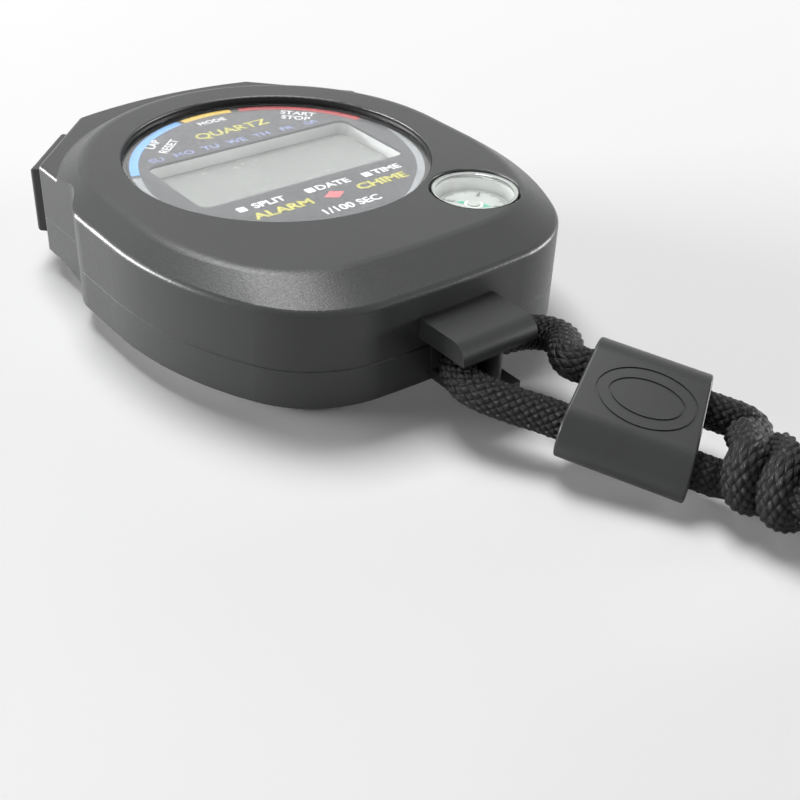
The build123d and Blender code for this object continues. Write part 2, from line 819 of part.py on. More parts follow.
# ---------------------------------------------------------------- write every node
nodes = {
    "front_housing": front_housing(),
    "rear_housing": rear_housing(),
    "case_seal": case_seal(),
    "lens": lens(),
    "dial_plate": dial_plate(),
    "lcd_frame": lcd_frame(),
    "lcd_front_glass": slab(glass_half_width, glass_half_height, rear_glass_top, glass_top),
    "lcd_rear_glass": slab(glass_half_width, rear_glass_half_height, rear_glass_bottom, rear_glass_top),
    "lcd_reflector": slab(glass_half_width - reflector_inset, rear_glass_half_height - reflector_inset,
                          rear_glass_bottom - reflector_thickness, rear_glass_bottom),
    "zebra_strip_upper": zebra_strip(1),
    "zebra_strip_lower": zebra_strip(-1),
    "circuit_board": circuit_board(),
    "chip_blob": chip_blob(),
    "crystal": crystal(),
    "battery_cell": battery_cell(),
    "battery_contact_positive": positive_contact(),
    "battery_contact_negative": negative_contact(),
    "buzzer_disc": buzzer_disc(),
    "buzzer_contact": buzzer_contact(),
    "case_screws": screws(case_screw_places, case_screw_radius, case_head_radius, case_head_height,
                          case_head_height, case_screw_length),
    "board_screws": screws(board_screw_places, board_screw_radius, board_head_radius, board_head_height,
                           board_bottom, board_thickness + board_screw_length - pilot_spare),
    "compass_cup": compass_cup(),
    "compass_dome": compass_dome(),
    "compass_pivot": compass_pivot(),
    "compass_card": compass_card(),
    "compass_magnet": compass_magnet(),
    "lanyard_lug": lanyard_lug(),
    "cord_slider": cord_slider(),
    "lanyard_knot": lanyard_knot(),
    "lanyard_coil": lanyard_coil(),
    "lanyard_strand_right": cord_tube("strand right", right_strand_points),
    "lanyard_strand_left": cord_tube("strand left", left_strand_points),
    "lanyard_tail_out": cord_tube("tail out", tail_out_route),
    "lanyard_tail_back": cord_tube("tail back", tail_back_route),
}
for name, (plane, width, proud) in button_places.items():
    nodes[name + "_button"] = plane * button(width, proud, side_ribs if name != "mode" else side_ribs - 1)
    nodes[name + "_button_contact"] = plane * button_contact()

os.makedirs("parts", exist_ok=True)
for name, shape in nodes.items():
    export_step(shape, "parts/" + name + ".step")
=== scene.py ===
"""Looks of the handheld stopwatch: finishes, lens, prints, braided rope, floor and light."""
import math

import bmesh
import bpy
import numpy as np
from mathutils import Matrix, Vector


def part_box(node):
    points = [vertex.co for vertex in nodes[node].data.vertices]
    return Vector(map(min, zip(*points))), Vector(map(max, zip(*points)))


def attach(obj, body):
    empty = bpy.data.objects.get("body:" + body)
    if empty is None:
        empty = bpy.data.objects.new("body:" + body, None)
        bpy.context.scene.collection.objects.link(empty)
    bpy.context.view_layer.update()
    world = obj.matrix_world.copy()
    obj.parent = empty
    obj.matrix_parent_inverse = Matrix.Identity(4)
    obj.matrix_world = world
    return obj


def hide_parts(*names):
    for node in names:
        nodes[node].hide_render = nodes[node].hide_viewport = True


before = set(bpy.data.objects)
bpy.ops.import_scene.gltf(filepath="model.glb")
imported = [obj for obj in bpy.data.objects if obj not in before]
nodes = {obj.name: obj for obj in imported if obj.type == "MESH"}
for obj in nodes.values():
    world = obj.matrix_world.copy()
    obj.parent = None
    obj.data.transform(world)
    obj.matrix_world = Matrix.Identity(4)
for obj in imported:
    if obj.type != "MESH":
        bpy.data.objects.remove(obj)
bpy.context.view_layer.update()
MM = 0.001


def mm(*values):
    """A place given in millimetres, in metres."""
    return Vector([v * MM for v in values])


def add_object(name, data):
    """A new object in the scene that shows the data."""
    made = bpy.data.objects.new(name, data)
    bpy.context.scene.collection.objects.link(made)
    return made


def mesh_from_curve(curve):
    """The mesh that a curve or a text makes, with the curve itself removed."""
    holder = add_object(curve.name, curve)
    mesh = bpy.data.meshes.new_from_object(holder)
    bpy.data.objects.remove(holder)
    bpy.data.curves.remove(curve)
    return mesh


# ---------------------------------------------------------------- camera
camera_place = mm(-97.04, -147.70, 95.93)
camera_azimuth = math.radians(-39.9)
camera_elevation = math.radians(34.3)
camera_roll = math.radians(2.9)
camera_lens = 55.9


def make_camera():
    level = math.cos(camera_elevation)
    sine, cosine = math.sin(camera_azimuth), math.cos(camera_azimuth)
    back = Vector((sine * level, -cosine * level, math.sin(camera_elevation)))
    flat_right = Vector((cosine, sine, 0))
    flat_up = back.cross(flat_right)
    right = flat_right * math.cos(camera_roll) + flat_up * math.sin(camera_roll)
    up = flat_up * math.cos(camera_roll) - flat_right * math.sin(camera_roll)
    data = bpy.data.cameras.new("camera")
    data.lens = camera_lens
    data.sensor_width = 36.0
    data.clip_start = 0.01
    data.clip_end = 20.0
    camera = add_object("camera", data)
    matrix = Matrix((right, up, back)).transposed().to_4x4()
    matrix.translation = camera_place
    camera.matrix_world = matrix
    bpy.context.scene.camera = camera


make_camera()


# ---------------------------------------------------------------- node helpers
noise_low, noise_high = 0.3, 0.7


def tint(colour, factor):
    return tuple(min(1.0, c * factor) for c in colour)


class Tree:
    """A node tree under construction."""

    def __init__(self, tree):
        self.tree = tree

    def node(self, kind, operation=None, **inputs):
        made = self.tree.nodes.new(kind)
        if operation:
            made.operation = operation
        for key, value in inputs.items():
            made.inputs[key.replace("_", " ")].default_value = value
        return made

    def link(self, out_socket, in_socket):
        self.tree.links.new(out_socket, in_socket)

    def math(self, operation, a, b=None):
        made = self.node("ShaderNodeMath", operation)
        for socket, value in zip(made.inputs, (a, b)):
            if value is None:
                continue
            if isinstance(value, (int, float)):
                socket.default_value = value
            else:
                self.link(value, socket)
        return made.outputs["Value"]

    def map_range(self, value, low, high, to_low=0.0, to_high=1.0, smooth=False):
        made = self.node("ShaderNodeMapRange", From_Min=low, From_Max=high, To_Min=to_low, To_Max=to_high)
        if smooth:
            made.interpolation_type = "SMOOTHSTEP"
        self.link(value, made.inputs["Value"])
        return made.outputs["Result"]

    def mix(self, share, first, second, surface):
        """Sends a mix of two shaders to a surface socket: share 0 is the first, 1 the second."""
        made = self.node("ShaderNodeMixShader")
        for socket, value in zip(made.inputs, (share, first.outputs[0], second.outputs[0])):
            self.link(value, socket)
        self.link(made.outputs[0], surface)

    def seen_directly(self):
        """1 for rays from the camera, a gloss or through glass, and 0 for the rays that light things."""
        path = self.node("ShaderNodeLightPath").outputs
        through_or_gloss = self.math("MAXIMUM", path["Is Glossy Ray"], path["Is Transmission Ray"])
        return self.math("MAXIMUM", path["Is Camera Ray"], through_or_gloss)


class Shader(Tree):
    """A material under construction: one Principled shader and the nodes that feed it."""

    def __init__(self, name):
        self.material = bpy.data.materials.new(name)
        self.material.use_nodes = True
        super().__init__(self.material.node_tree)
        self.shader = self.tree.nodes["Principled BSDF"]
        self.surface = self.tree.nodes["Material Output"].inputs["Surface"]

    def set(self, **values):
        for key, value in values.items():
            self.shader.inputs[key.replace("_", " ")].default_value = value

    def feed(self, key, value):
        """Drives an input of the Principled shader."""
        self.link(value, self.shader.inputs[key])

    def place(self, scale):
        """Coordinates in the object's own frame, in metres, times a scale for each axis."""
        coordinates = self.node("ShaderNodeTexCoord")
        mapping = self.node("ShaderNodeMapping", Scale=scale)
        self.link(coordinates.outputs["Object"], mapping.inputs["Vector"])
        return mapping.outputs["Vector"]

    def noise(self, scale, detail=3.0, roughness=0.5, stretch=(1, 1, 1)):
        made = self.node("ShaderNodeTexNoise", Scale=scale, Detail=detail, Roughness=roughness)
        self.link(self.place(stretch), made.inputs["Vector"])
        return made.outputs["Fac"]

    def colour_between(self, value, colour, dark, light, low=noise_low, high=noise_high):
        """Base colour that goes from a darker to a lighter tint as a value rises."""
        made = self.node("ShaderNodeValToRGB")
        for element, at, factor in zip(made.color_ramp.elements, (low, high), (dark, light)):
            element.position = at
            element.color = (*tint(colour, factor), 1)
        self.link(value, made.inputs["Fac"])
        self.feed("Base Color", made.outputs["Color"])

    def roughness_between(self, value, low, high):
        self.feed("Roughness", self.map_range(value, noise_low, noise_high, low, high))

    def bump(self, height, distance):
        made = self.node("ShaderNodeBump", Strength=1.0, Distance=distance)
        self.link(height, made.inputs["Height"])
        self.feed("Normal", made.outputs["Normal"])


def moulded(name, colour, roughness, grain=2600.0, depth=0.012, vary=0.12, specular=0.5):
    """Moulded plastic: a fine spark texture, and colour and gloss that vary slowly."""
    s = Shader(name)
    slow = s.noise(60.0, detail=4.0)
    s.colour_between(slow, colour, 1 - vary, 1 + vary)
    fine = s.noise(grain, detail=2.0, roughness=0.6)
    s.roughness_between(fine, roughness - 0.05, roughness + 0.06)
    s.bump(fine, depth * MM)
    s.set(Specular_IOR_Level=specular)
    return s.material


def metal(name, colour, roughness):
    """Plated metal with a fine, even grain."""
    s = Shader(name)
    s.set(Metallic=1.0)
    grain = s.noise(1200.0)
    s.colour_between(grain, colour, 0.86, 1.08)
    s.roughness_between(grain, roughness * 0.8, roughness * 1.3)
    s.bump(grain, 0.004 * MM)
    return s.material


def ink(name, colour):
    """Printed ink: slightly uneven cover, with a fine screen grain."""
    s = Shader(name)
    cover = s.noise(1800.0, detail=2.0)
    s.colour_between(cover, colour, 0.9, 1.04)
    s.roughness_between(cover, 0.42, 0.52)
    s.bump(cover, 0.003 * MM)
    return s.material


def clear(name, colour, ior):
    """Clear plastic that lets lamps through, with faint swirl marks from handling."""
    s = Shader(name)
    s.set(Transmission_Weight=1.0, IOR=ior, Base_Color=(*colour, 1))
    wipe = s.noise(240.0, detail=5.0, roughness=0.65, stretch=(1, 0.25, 1))
    s.roughness_between(wipe, 0.02, 0.05)
    path = s.node("ShaderNodeLightPath")
    through = s.node("ShaderNodeBsdfTransparent", Color=(*colour, 1))
    s.mix(path.outputs["Is Shadow Ray"], s.shader, through, s.surface)
    return s.material


fibres_per_bundle = 5


def braid_material(name, colour):
    """Braided nylon: fibres run along whichever bundle lies on top, from the rope's own UV."""
    s = Shader(name)
    uv = s.node("ShaderNodeUVMap")
    uv.uv_map = "braid"
    split = s.node("ShaderNodeSeparateXYZ")
    s.link(uv.outputs["UV"], split.inputs["Vector"])
    around, along = split.outputs["X"], split.outputs["Y"]
    one = s.math("ADD", around, along)
    two = s.math("SUBTRACT", around, along)
    waves = [s.math("SINE", s.math("MULTIPLY", value, math.pi)) for value in (one, two)]
    crown = s.math("POWER", s.math("ABSOLUTE", s.math("MULTIPLY", *waves)), 0.5)
    cell = s.math("ADD", s.math("FLOOR", one), s.math("FLOOR", two))
    on_top = s.math("GREATER_THAN", s.math("FRACT", s.math("MULTIPLY", cell, 0.5)), 0.25)
    under = s.math("SUBTRACT", 1.0, on_top)
    across = s.math("ADD", s.math("MULTIPLY", one, under), s.math("MULTIPLY", two, on_top))
    fibres = s.math("SINE", s.math("MULTIPLY", across, 2 * math.pi * fibres_per_bundle))
    fuzz = s.noise(2400.0, detail=3.0)
    rough = s.math("ADD", s.math("MULTIPLY", fuzz, 0.4), crown)
    s.bump(s.math("ADD", s.math("MULTIPLY", fibres, 0.12), rough), 0.22 * MM)
    streaks = s.math("ADD", s.math("MULTIPLY", fibres, 0.1), s.math("ADD", fuzz, 0.3))
    # Painted shade and highlight: the colour darkens into the gaps between bundles and lightens on their
    # crowns, over the fibre streaks.
    s.colour_between(s.math("MULTIPLY", streaks, crown), colour, 0.3, 1.9, low=0.1, high=0.9)
    s.roughness_between(fuzz, 0.32, 0.5)
    s.set(Specular_IOR_Level=0.3)
    return s.material


# ---------------------------------------------------------------- finishes
case_black = moulded("case_black", (0.030, 0.031, 0.032), 0.34, grain=3000.0, depth=0.016)
button_black = moulded("button_black", (0.020, 0.020, 0.021), 0.40, grain=2600.0, depth=0.010)
satin_black = moulded("satin_black", (0.034, 0.035, 0.036), 0.36, grain=2200.0, depth=0.008, specular=0.35)
seal_rubber = moulded("seal_rubber", (0.03, 0.03, 0.03), 0.7, grain=2000.0)
# Near-black finish for painted shade: it lines the recess wall round the lens and rings the dial's edge, so
# both read as deep shadow.
painted_shade_black = moulded("painted_shade_black", (0.006, 0.006, 0.006), 0.45, grain=2600.0, depth=0.006, specular=0.2)
# The dial plate's own black, lifted lighter as a painted reflection: it stands in for the veil the lens
# reflects over the dial.
plate_black_and_reflection = moulded("plate_black_and_reflection", (0.030, 0.032, 0.036), 0.32, grain=3600.0, depth=0.004, vary=0.06)
frame_grey = moulded("frame_grey", (0.58, 0.59, 0.58), 0.5, grain=3000.0, depth=0.006, vary=0.05)
panel_grey = moulded("panel_grey", (0.205, 0.215, 0.205), 0.22, grain=900.0, depth=0.0003, vary=0.02)
reflector = metal("reflector", (0.62, 0.65, 0.63), 0.35)
board_green = moulded("board_green", (0.012, 0.11, 0.04), 0.3, grain=1500.0, depth=0.01, vary=0.25)
epoxy_black = moulded("epoxy_black", (0.012, 0.012, 0.013), 0.18, grain=500.0, depth=0.02)
steel = metal("steel", (0.66, 0.66, 0.65), 0.28)
screw_steel = metal("screw_steel", (0.42, 0.42, 0.43), 0.34)
spring_metal = metal("spring_metal", (0.75, 0.74, 0.70), 0.22)
brass = metal("brass", (0.78, 0.58, 0.26), 0.25)
compass_white = moulded("compass_white", (0.74, 0.75, 0.73), 0.34, grain=2600.0, depth=0.004, vary=0.03)
card_grey = moulded("card_grey", (0.36, 0.37, 0.355), 0.4, grain=2600.0, depth=0.003, vary=0.04)
clear_acrylic = clear("clear_acrylic", (0.985, 0.99, 0.99), 1.49)
clear_capsule = clear("clear_capsule", (0.97, 0.985, 0.98), 1.47)
rope_black = braid_material("rope_black", (0.010, 0.010, 0.011))
ink_white = ink("ink_white", (0.60, 0.61, 0.62))
ink_grey = ink("ink_grey", (0.20, 0.21, 0.22))
ink_pale_blue = ink("ink_pale_blue", (0.16, 0.20, 0.40))
ink_yellow = ink("ink_yellow", (0.40, 0.37, 0.03))
ink_blue = ink("ink_blue", (0.08, 0.29, 0.70))
ink_gold = ink("ink_gold", (0.54, 0.36, 0.02))
ink_red = ink("ink_red", (0.34, 0.012, 0.016))
ink_coral = ink("ink_coral", (0.55, 0.08, 0.09))
ink_black = ink("ink_black", (0.02, 0.02, 0.022))
ink_teal = ink("ink_teal", (0.03, 0.34, 0.22))
ink_pale = ink("ink_pale", (0.66, 0.67, 0.64))

node_finish = {
    "front_housing": case_black, "rear_housing": case_black, "case_seal": seal_rubber,
    "dial_plate": plate_black_and_reflection, "lcd_frame": frame_grey, "lcd_front_glass": panel_grey,
    "lcd_rear_glass": panel_grey, "lcd_reflector": reflector, "zebra_strip_upper": seal_rubber,
    "zebra_strip_lower": seal_rubber, "circuit_board": board_green, "chip_blob": epoxy_black,
    "crystal": steel, "battery_cell": steel, "battery_contact_positive": spring_metal,
    "battery_contact_negative": spring_metal, "buzzer_disc": brass, "buzzer_contact": spring_metal,
    "case_screws": screw_steel, "board_screws": screw_steel, "compass_cup": compass_white,
    "compass_dome": clear_capsule, "compass_pivot": brass, "compass_card": card_grey,
    "compass_magnet": steel, "lanyard_lug": satin_black, "cord_slider": satin_black,
    "left_button": button_black, "mode_button": button_black, "right_button": button_black,
    "left_button_contact": spring_metal, "mode_button_contact": spring_metal,
    "right_button_contact": spring_metal,
}
for name, finish in node_finish.items():
    data = nodes[name].data
    data.materials.clear()
    data.materials.append(finish)


# ---------------------------------------------------------------- mesh helpers
level_normal = 0.999
merge_distance = 1e-7
on_axis = 1e-9


def new_piece(name, bm, finish, body="case", smooth=True):
    """A finished piece from a bmesh in the row frame, riding on a body."""
    mesh = bpy.data.meshes.new(name)
    bmesh.ops.recalc_face_normals(bm, faces=bm.faces)
    bm.to_mesh(mesh)
    bm.free()
    piece = add_object(name, mesh)
    mesh.materials.append(finish)
    for face in mesh.polygons:
        face.use_smooth = smooth and abs(face.normal.z) < level_normal
    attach(piece, body)
    return piece


def revolve(bm, profile, segments=192):
    """A closed ring or disc about the Z axis, from a closed profile of (radius, height) points."""
    rings = []
    for i in range(segments):
        angle = 2 * math.pi * i / segments
        ring = []
        for radius, height in profile:
            ring.append(bm.verts.new((radius * math.cos(angle), radius * math.sin(angle), height)))
        rings.append(ring)
    count = len(profile)
    for i in range(segments):
        here, there = rings[i], rings[(i + 1) % segments]
        for j in range(count):
            k = (j + 1) % count
            if profile[j][0] < on_axis and profile[k][0] < on_axis:
                continue
            bm.faces.new((here[j], there[j], there[k], here[k]))
    bmesh.ops.remove_doubles(bm, verts=bm.verts, dist=merge_distance)


# ---------------------------------------------------------------- lens
dial_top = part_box("dial_plate")[1].z
lens_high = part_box("lens")[1]
lens_radius = lens_high.x
lens_gap = 0.06 * MM
lens_edge = 0.10 * MM
lens_edge_steps = 6
# Size of the near-black ring of painted shade that lines the recess wall round the lens.
recess_shade_lift, recess_shade_drop = 0.02 * MM, 0.3 * MM
recess_shade_inner_gap, recess_shade_outer_gap = 0.03 * MM, 0.13 * MM


def make_lens():
    low, high = dial_top + lens_gap, lens_high.z
    profile = [(0, low), (lens_radius, low)]
    for step in range(lens_edge_steps + 1):
        angle = math.pi / 2 * step / lens_edge_steps
        inward, down = 1 - math.cos(angle), 1 - math.sin(angle)
        profile.append((lens_radius - lens_edge * inward, high - lens_edge * down))
    profile.append((0, high))
    bm = bmesh.new()
    revolve(bm, profile)
    lens = new_piece("crystal_lens", bm, clear_acrylic)
    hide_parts("lens")


make_lens()


def make_recess_shade_ring():
    """A near-black ring that lines the recess round the lens: painted shade that makes the recess wall read
    as in shadow.
    """
    low, high = dial_top + recess_shade_lift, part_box("front_housing")[1].z - recess_shade_drop
    inner, outer = lens_radius + recess_shade_inner_gap, lens_radius + recess_shade_outer_gap
    bm = bmesh.new()
    revolve(bm, [(inner, low), (outer, low), (outer, high), (inner, high)])
    new_piece("recess_shade_ring", bm, painted_shade_black)


make_recess_shade_ring()


# ---------------------------------------------------------------- dial print
print_gap = 0.004 * MM
print_low = dial_top + print_gap
print_thickness = 0.02 * MM
thinnest_line = 0.02
band_centre = (-0.05, -0.2)
band_radius = 22.2
band_width = 1.3
crescent_width = 1.15
# Near-black ring of painted shade at the dial's edge, beside the shaded recess wall.
dial_edge_shade_radius, dial_edge_shade_width = 23.1, 0.8
mark_half, mark_y = 0.7, -11.3
day_start, day_step, day_y = -15.2, 4.68, 9.85


def thicken(bm, faces):
    """Gives flat print faces their thickness."""
    made = bmesh.ops.extrude_face_region(bm, geom=faces)
    tops = [v for v in made["geom"] if isinstance(v, bmesh.types.BMVert)]
    bmesh.ops.translate(bm, verts=tops, vec=(0, 0, print_thickness))


def add_text(bm, words, size, x, y, turn=0.0, stretch=1.0, weight=0.0, height=print_low):
    """Adds flat lettering centred at x, y in millimetres."""
    curve = bpy.data.curves.new("words", "FONT")
    curve.body = words
    curve.size = size * MM
    curve.align_x = "CENTER"
    curve.align_y = "CENTER"
    curve.offset = weight * MM
    curve.extrude = print_thickness / 2
    curve.resolution_u = 4
    mesh = mesh_from_curve(curve)
    place = Matrix.Translation((x * MM, y * MM, height + print_thickness / 2))
    mesh.transform(place @ Matrix.Rotation(math.radians(turn), 4, "Z") @ Matrix.Diagonal((stretch, 1, 1, 1)))
    bm.from_mesh(mesh)
    bpy.data.meshes.remove(mesh)


def add_polygon(bm, corners, height=print_low):
    verts = [bm.verts.new((x * MM, y * MM, height)) for x, y in corners]
    thicken(bm, [bm.faces.new(verts)])


def add_arc(bm, outer, start, end, width, steps=48, height=print_low, centre=band_centre):
    """A printed band inside an outer radius; width is a function of how far along it is."""
    faces, previous = [], None
    for i in range(steps + 1):
        share = i / steps
        angle = math.radians(start + (end - start) * share)
        inner = outer - max(width(share), thinnest_line)
        pair = []
        for radius in (outer, inner):
            at = (centre[0] + radius * math.cos(angle), centre[1] + radius * math.sin(angle))
            pair.append(bm.verts.new((at[0] * MM, at[1] * MM, height)))
        if previous:
            faces.append(bm.faces.new((previous[0], pair[0], pair[1], previous[1])))
        previous = pair
    thicken(bm, faces)


def even(_):
    return band_width


def print_piece(name, finish, draw, body="case"):
    bm = bmesh.new()
    draw(bm)
    new_piece(name, bm, finish, body=body, smooth=False)


def draw_white(bm):
    add_text(bm, "LAP", 2.05, -12.75, 15.35, turn=40, weight=0.03)
    add_text(bm, "RESET", 2.05, -11.05, 13.45, turn=40, weight=0.03)
    add_text(bm, "MODE", 1.75, -0.4, 18.6, weight=0.03)
    add_text(bm, "START", 2.0, 13.25, 14.15, turn=-44, weight=0.03)
    add_text(bm, "STOP", 2.0, 11.85, 12.75, turn=-44, weight=0.03)
    for x, words, middle in ((-13.6, "SPLIT", -9.1), (-2.0, "DATE", 2.0), (8.3, "TIME", 12.0)):
        left, right, low, high = x - mark_half, x + mark_half, mark_y - mark_half, mark_y + mark_half
        add_polygon(bm, [(left, low), (right, low), (right, high), (left, high)])
        add_text(bm, words, 2.1, middle, -11.35, stretch=1.12, weight=0.05)
    add_text(bm, "1/100 SEC", 2.3, 0.3, -18.4, stretch=1.05, weight=0.05)


def draw_days(bm):
    for i, day in enumerate(("SU", "MO", "TU", "WE", "TH", "FR", "SA")):
        add_text(bm, day, 2.0, day_start + day_step * i, day_y, stretch=1.1, weight=0.03)


def draw_yellow(bm):
    add_text(bm, "QUARTZ", 2.9, 0.6, 14.1, stretch=1.12, weight=0.05)
    add_text(bm, "ALARM", 2.55, -8.5, -14.35, stretch=1.2, weight=0.08)
    add_text(bm, "CHIME", 2.55, 8.9, -14.35, stretch=1.2, weight=0.08)


def draw_crescents(bm):
    add_arc(bm, band_radius, 3.0, -76.0, lambda t: crescent_width * min(1.0, 0.3 + 3 * t, 3.2 * (1 - t)))
    add_arc(bm, band_radius, 164.0, 192.0, lambda t: band_width * (1 - 0.75 * t))


# Painted shade: a near-black ring round the dial's edge, where the recess wall lies in shadow.
def draw_dial_edge_shade(bm):
    add_arc(bm, dial_edge_shade_radius, 0, 360, lambda t: dial_edge_shade_width, steps=180, centre=(0, 0))


def draw_diamond(bm):
    add_polygon(bm, [(-1.6, -14.3), (0.2, -15.5), (2.0, -14.3), (0.2, -13.1)])


bands = (("blue", ink_blue, 161.3, 103.8), ("gold", ink_gold, 101.5, 77.8), ("red", ink_red, 74.0, 19.3))
print_piece("print_white", ink_white, draw_white)
print_piece("print_days", ink_pale_blue, draw_days)
print_piece("print_yellow", ink_yellow, draw_yellow)
print_piece("print_crescents", ink_grey, draw_crescents)
for colour, finish, start, end in bands:
    print_piece(f"print_{colour}_band", finish, lambda bm: add_arc(bm, band_radius, start, end, even))
# The near-black ring round the dial is painted shade, in the same finish as the recess ring.
print_piece("dial_edge_shade_ring", painted_shade_black, draw_dial_edge_shade)
print_piece("print_diamond", ink_coral, draw_diamond)


# ---------------------------------------------------------------- compass card
card_low, card_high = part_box("compass_card")
card_centre = ((card_low + card_high) / 2 / MM)[0:2]
card_radius = (card_high.x - card_low.x) / 2 / MM
card_print_drop = 0.197 * MM  # from the top of the card's hub down to the foot of the print
card_top = card_high.z - card_print_drop
card_turn = 127.5
tick_count = 72
ticks_per_long = 6
tick_margin = 0.12
letter_radius = 3.35
arrow_tip, arrow_base, arrow_half = 2.7, 1.45, 0.62


def card_place(radius, angle, aside=0.0):
    """A place on the card, its angle counted from the card's own east."""
    turn = math.radians(angle + card_turn)
    along = Vector((math.cos(turn), math.sin(turn)))
    return tuple(Vector(card_centre) + along * radius + Vector((-along.y, along.x)) * aside)


def draw_card_ticks(bm):
    for i in range(tick_count):
        long, half = (1.15, 0.075) if i % ticks_per_long == 0 else (0.7, 0.05)
        inner, outer = card_radius - long, card_radius - tick_margin
        corners = [(inner, -half), (outer, -half), (outer, half), (inner, half)]
        angle = 360 / tick_count * i
        add_polygon(bm, [card_place(radius, angle, aside) for radius, aside in corners], height=card_top)
    for letter, angle in (("N", 90), ("E", 0), ("S", 270), ("W", 180)):
        x, y = card_place(letter_radius, angle)
        add_text(bm, letter, 1.35, x, y, turn=angle + card_turn - 90, weight=0.03, height=card_top)


def draw_card_arrows(bm):
    for angle in (0, 90, 180):
        base = [card_place(arrow_base, angle, aside) for aside in (arrow_half, -arrow_half)]
        add_polygon(bm, [card_place(arrow_tip, angle), *base], height=card_top)


def draw_card_rings(bm):
    add_arc(bm, card_radius - 0.04, 0, 360, lambda t: 0.07, steps=90, centre=card_centre, height=card_top)
    add_arc(bm, 1.38, 0, 360, lambda t: 0.34, steps=60, centre=card_centre, height=card_top)


card_prints = (("card_ticks", ink_black, draw_card_ticks), ("card_arrows", ink_teal, draw_card_arrows),
               ("card_rings", ink_pale, draw_card_rings))
for name, finish, draw in card_prints:
    print_piece(name, finish, draw, body="compass_rotor")


# ---------------------------------------------------------------- rope
cord_diameter = 5.0
slider_centre = Vector((8.9, -68.5, 7.25))
slider_heading, slider_pitch, slider_tilt = 0.50, -0.11, 0.37
left_bore_stations = (-12.0, -9.0, 9.0, 12.0)
right_bore_stations = (-12.0, -9.0, 6.9)
cord_spacing = 9.2
strand_start = (3.0, -45.25, 8.5)
right_route = [(9.2, -45.4, 8.7), (12.2, -51.4, 9.4)]
right_knot_route = [(19.3, -78.8, 7.5), (13.6, -81.5, 6.8), (14.8, -85.6, 4.8)]
left_route = [(-2.6, -45.2, 8.4), (-5.9, -51.0, 8.1), (-2.4, -57.4, 7.2)]
left_knot_route = [(11.5, -84.0, 6.9), (11.8, -88.5, 7.6)]
tail_out_route = [(13.5, -95.5, 7.2), (11.8, -103.0, 5.6), (7.2, -111.5, 3.3), (2.6, -121.0, 2.55),
                  (0.1, -130.9, 2.5)]
tail_back_route = [(18.6, -95.0, 8.6), (19.6, -101.0, 8.8), (22.8, -105.9, 8.5), (28.5, -107.5, 7.8)]
coil_centre = (29.0, -137.0)
coil_outer_radius = 29.5
coil_start, coil_end, coil_step = 183.0, 1518.0, 15.0
coil_inward, coil_upward, coil_outward = (455, 520), (845, 925), (1185, 1245)


def slider_point(along, across):
    heading = Vector((math.sin(slider_heading) * math.cos(slider_pitch),
                      -math.cos(slider_heading) * math.cos(slider_pitch), math.sin(slider_pitch)))
    level = Vector((math.cos(slider_heading), math.sin(slider_heading), 0))
    side = level * math.cos(slider_tilt) + heading.cross(level) * math.sin(slider_tilt)
    return tuple(slider_centre + heading * along + side * across)


def eased(value, low, high):
    t = max(0.0, min(1.0, (value - low) / (high - low)))
    return t * t * (3 - 2 * t)


def coil_points():
    """Nearly four turns: outer and inner below, then inner and outer on top."""
    points = []
    angle = coil_start
    while angle <= coil_end:
        radius = coil_outer_radius - cord_diameter * eased(angle, *coil_inward)
        radius += cord_diameter * eased(angle, *coil_outward)
        height = cord_diameter / 2 + cord_diameter * eased(angle, *coil_upward)
        a = math.radians(angle)
        points.append((coil_centre[0] + radius * math.cos(a), coil_centre[1] + radius * math.sin(a), height))
        angle += coil_step
    return points


def rope_route():
    left_straight = [slider_point(along, -cord_spacing / 2) for along in left_bore_stations]
    right_straight = [slider_point(along, cord_spacing / 2) for along in right_bore_stations]
    out = [strand_start, *left_route, *left_straight, *left_knot_route, *tail_out_route]
    home = [strand_start, *right_route, *right_straight, *right_knot_route, *tail_back_route]
    return out + coil_points() + home[::-1]


def smooth_line(points):
    """The NURBS spline through a route's control points, as a fine line of points in metres."""
    curve = bpy.data.curves.new("route", "CURVE")
    curve.dimensions = "3D"
    spline = curve.splines.new("NURBS")
    spline.points.add(len(points) - 1)
    for control, at in zip(spline.points, points):
        control.co = (*mm(*at), 1)
    spline.order_u = 3
    spline.use_endpoint_u = True
    spline.resolution_u = 16
    mesh = mesh_from_curve(curve)
    line = np.array([v.co for v in mesh.vertices], float)
    bpy.data.meshes.remove(mesh)
    return line


braid_columns = 12
braid_pick = 1.3 * MM
braid_relief = 0.36 * MM
rope_radius = cord_diameter / 2 * MM
rope_ring = 48
fine_step, plain_step = 0.26 * MM, 0.56 * MM
fine_reach = 62.0 * MM
same_place = 1e-9


def stepped(line):
    """The same line with points close together near its ends and wider apart between them."""
    runs = np.linalg.norm(np.diff(line, axis=0), axis=1)
    line = line[np.concatenate([[True], runs > same_place])]
    runs = np.linalg.norm(np.diff(line, axis=0), axis=1)
    at = np.concatenate([[0], np.cumsum(runs)])
    reach = min(fine_reach, at[-1] / 2)
    near = np.arange(0, reach, fine_step)
    middle = np.arange(reach, at[-1] - reach, plain_step)
    wanted = np.concatenate([near, middle, (at[-1] - near)[::-1]])
    return np.stack([np.interp(wanted, at, line[:, i]) for i in range(3)], 1), wanted


def carried_frames(line):
    """Two side vectors along the line that don't twist about it."""
    tangents = np.gradient(line, axis=0)
    tangents /= np.linalg.norm(tangents, axis=1)[:, None]
    side = np.cross(tangents[0], (0, 0, 1.0))
    side /= np.linalg.norm(side)
    sides = [side]
    for before, after in zip(tangents, tangents[1:]):
        turned = Vector(sides[-1])
        turned.rotate(Vector(before).rotation_difference(Vector(after)))
        turned -= Vector(after) * turned.dot(Vector(after))
        sides.append(np.array(turned.normalized()))
    sides = np.array(sides)
    return sides, np.cross(tangents, sides)


def braid_height(around, along):
    """How high the braid stands, from 0 in the gaps to 1 on the crown of a bundle."""
    one, two = around + along, around - along
    return np.sqrt(np.abs(np.sin(np.pi * one) * np.sin(np.pi * two)))


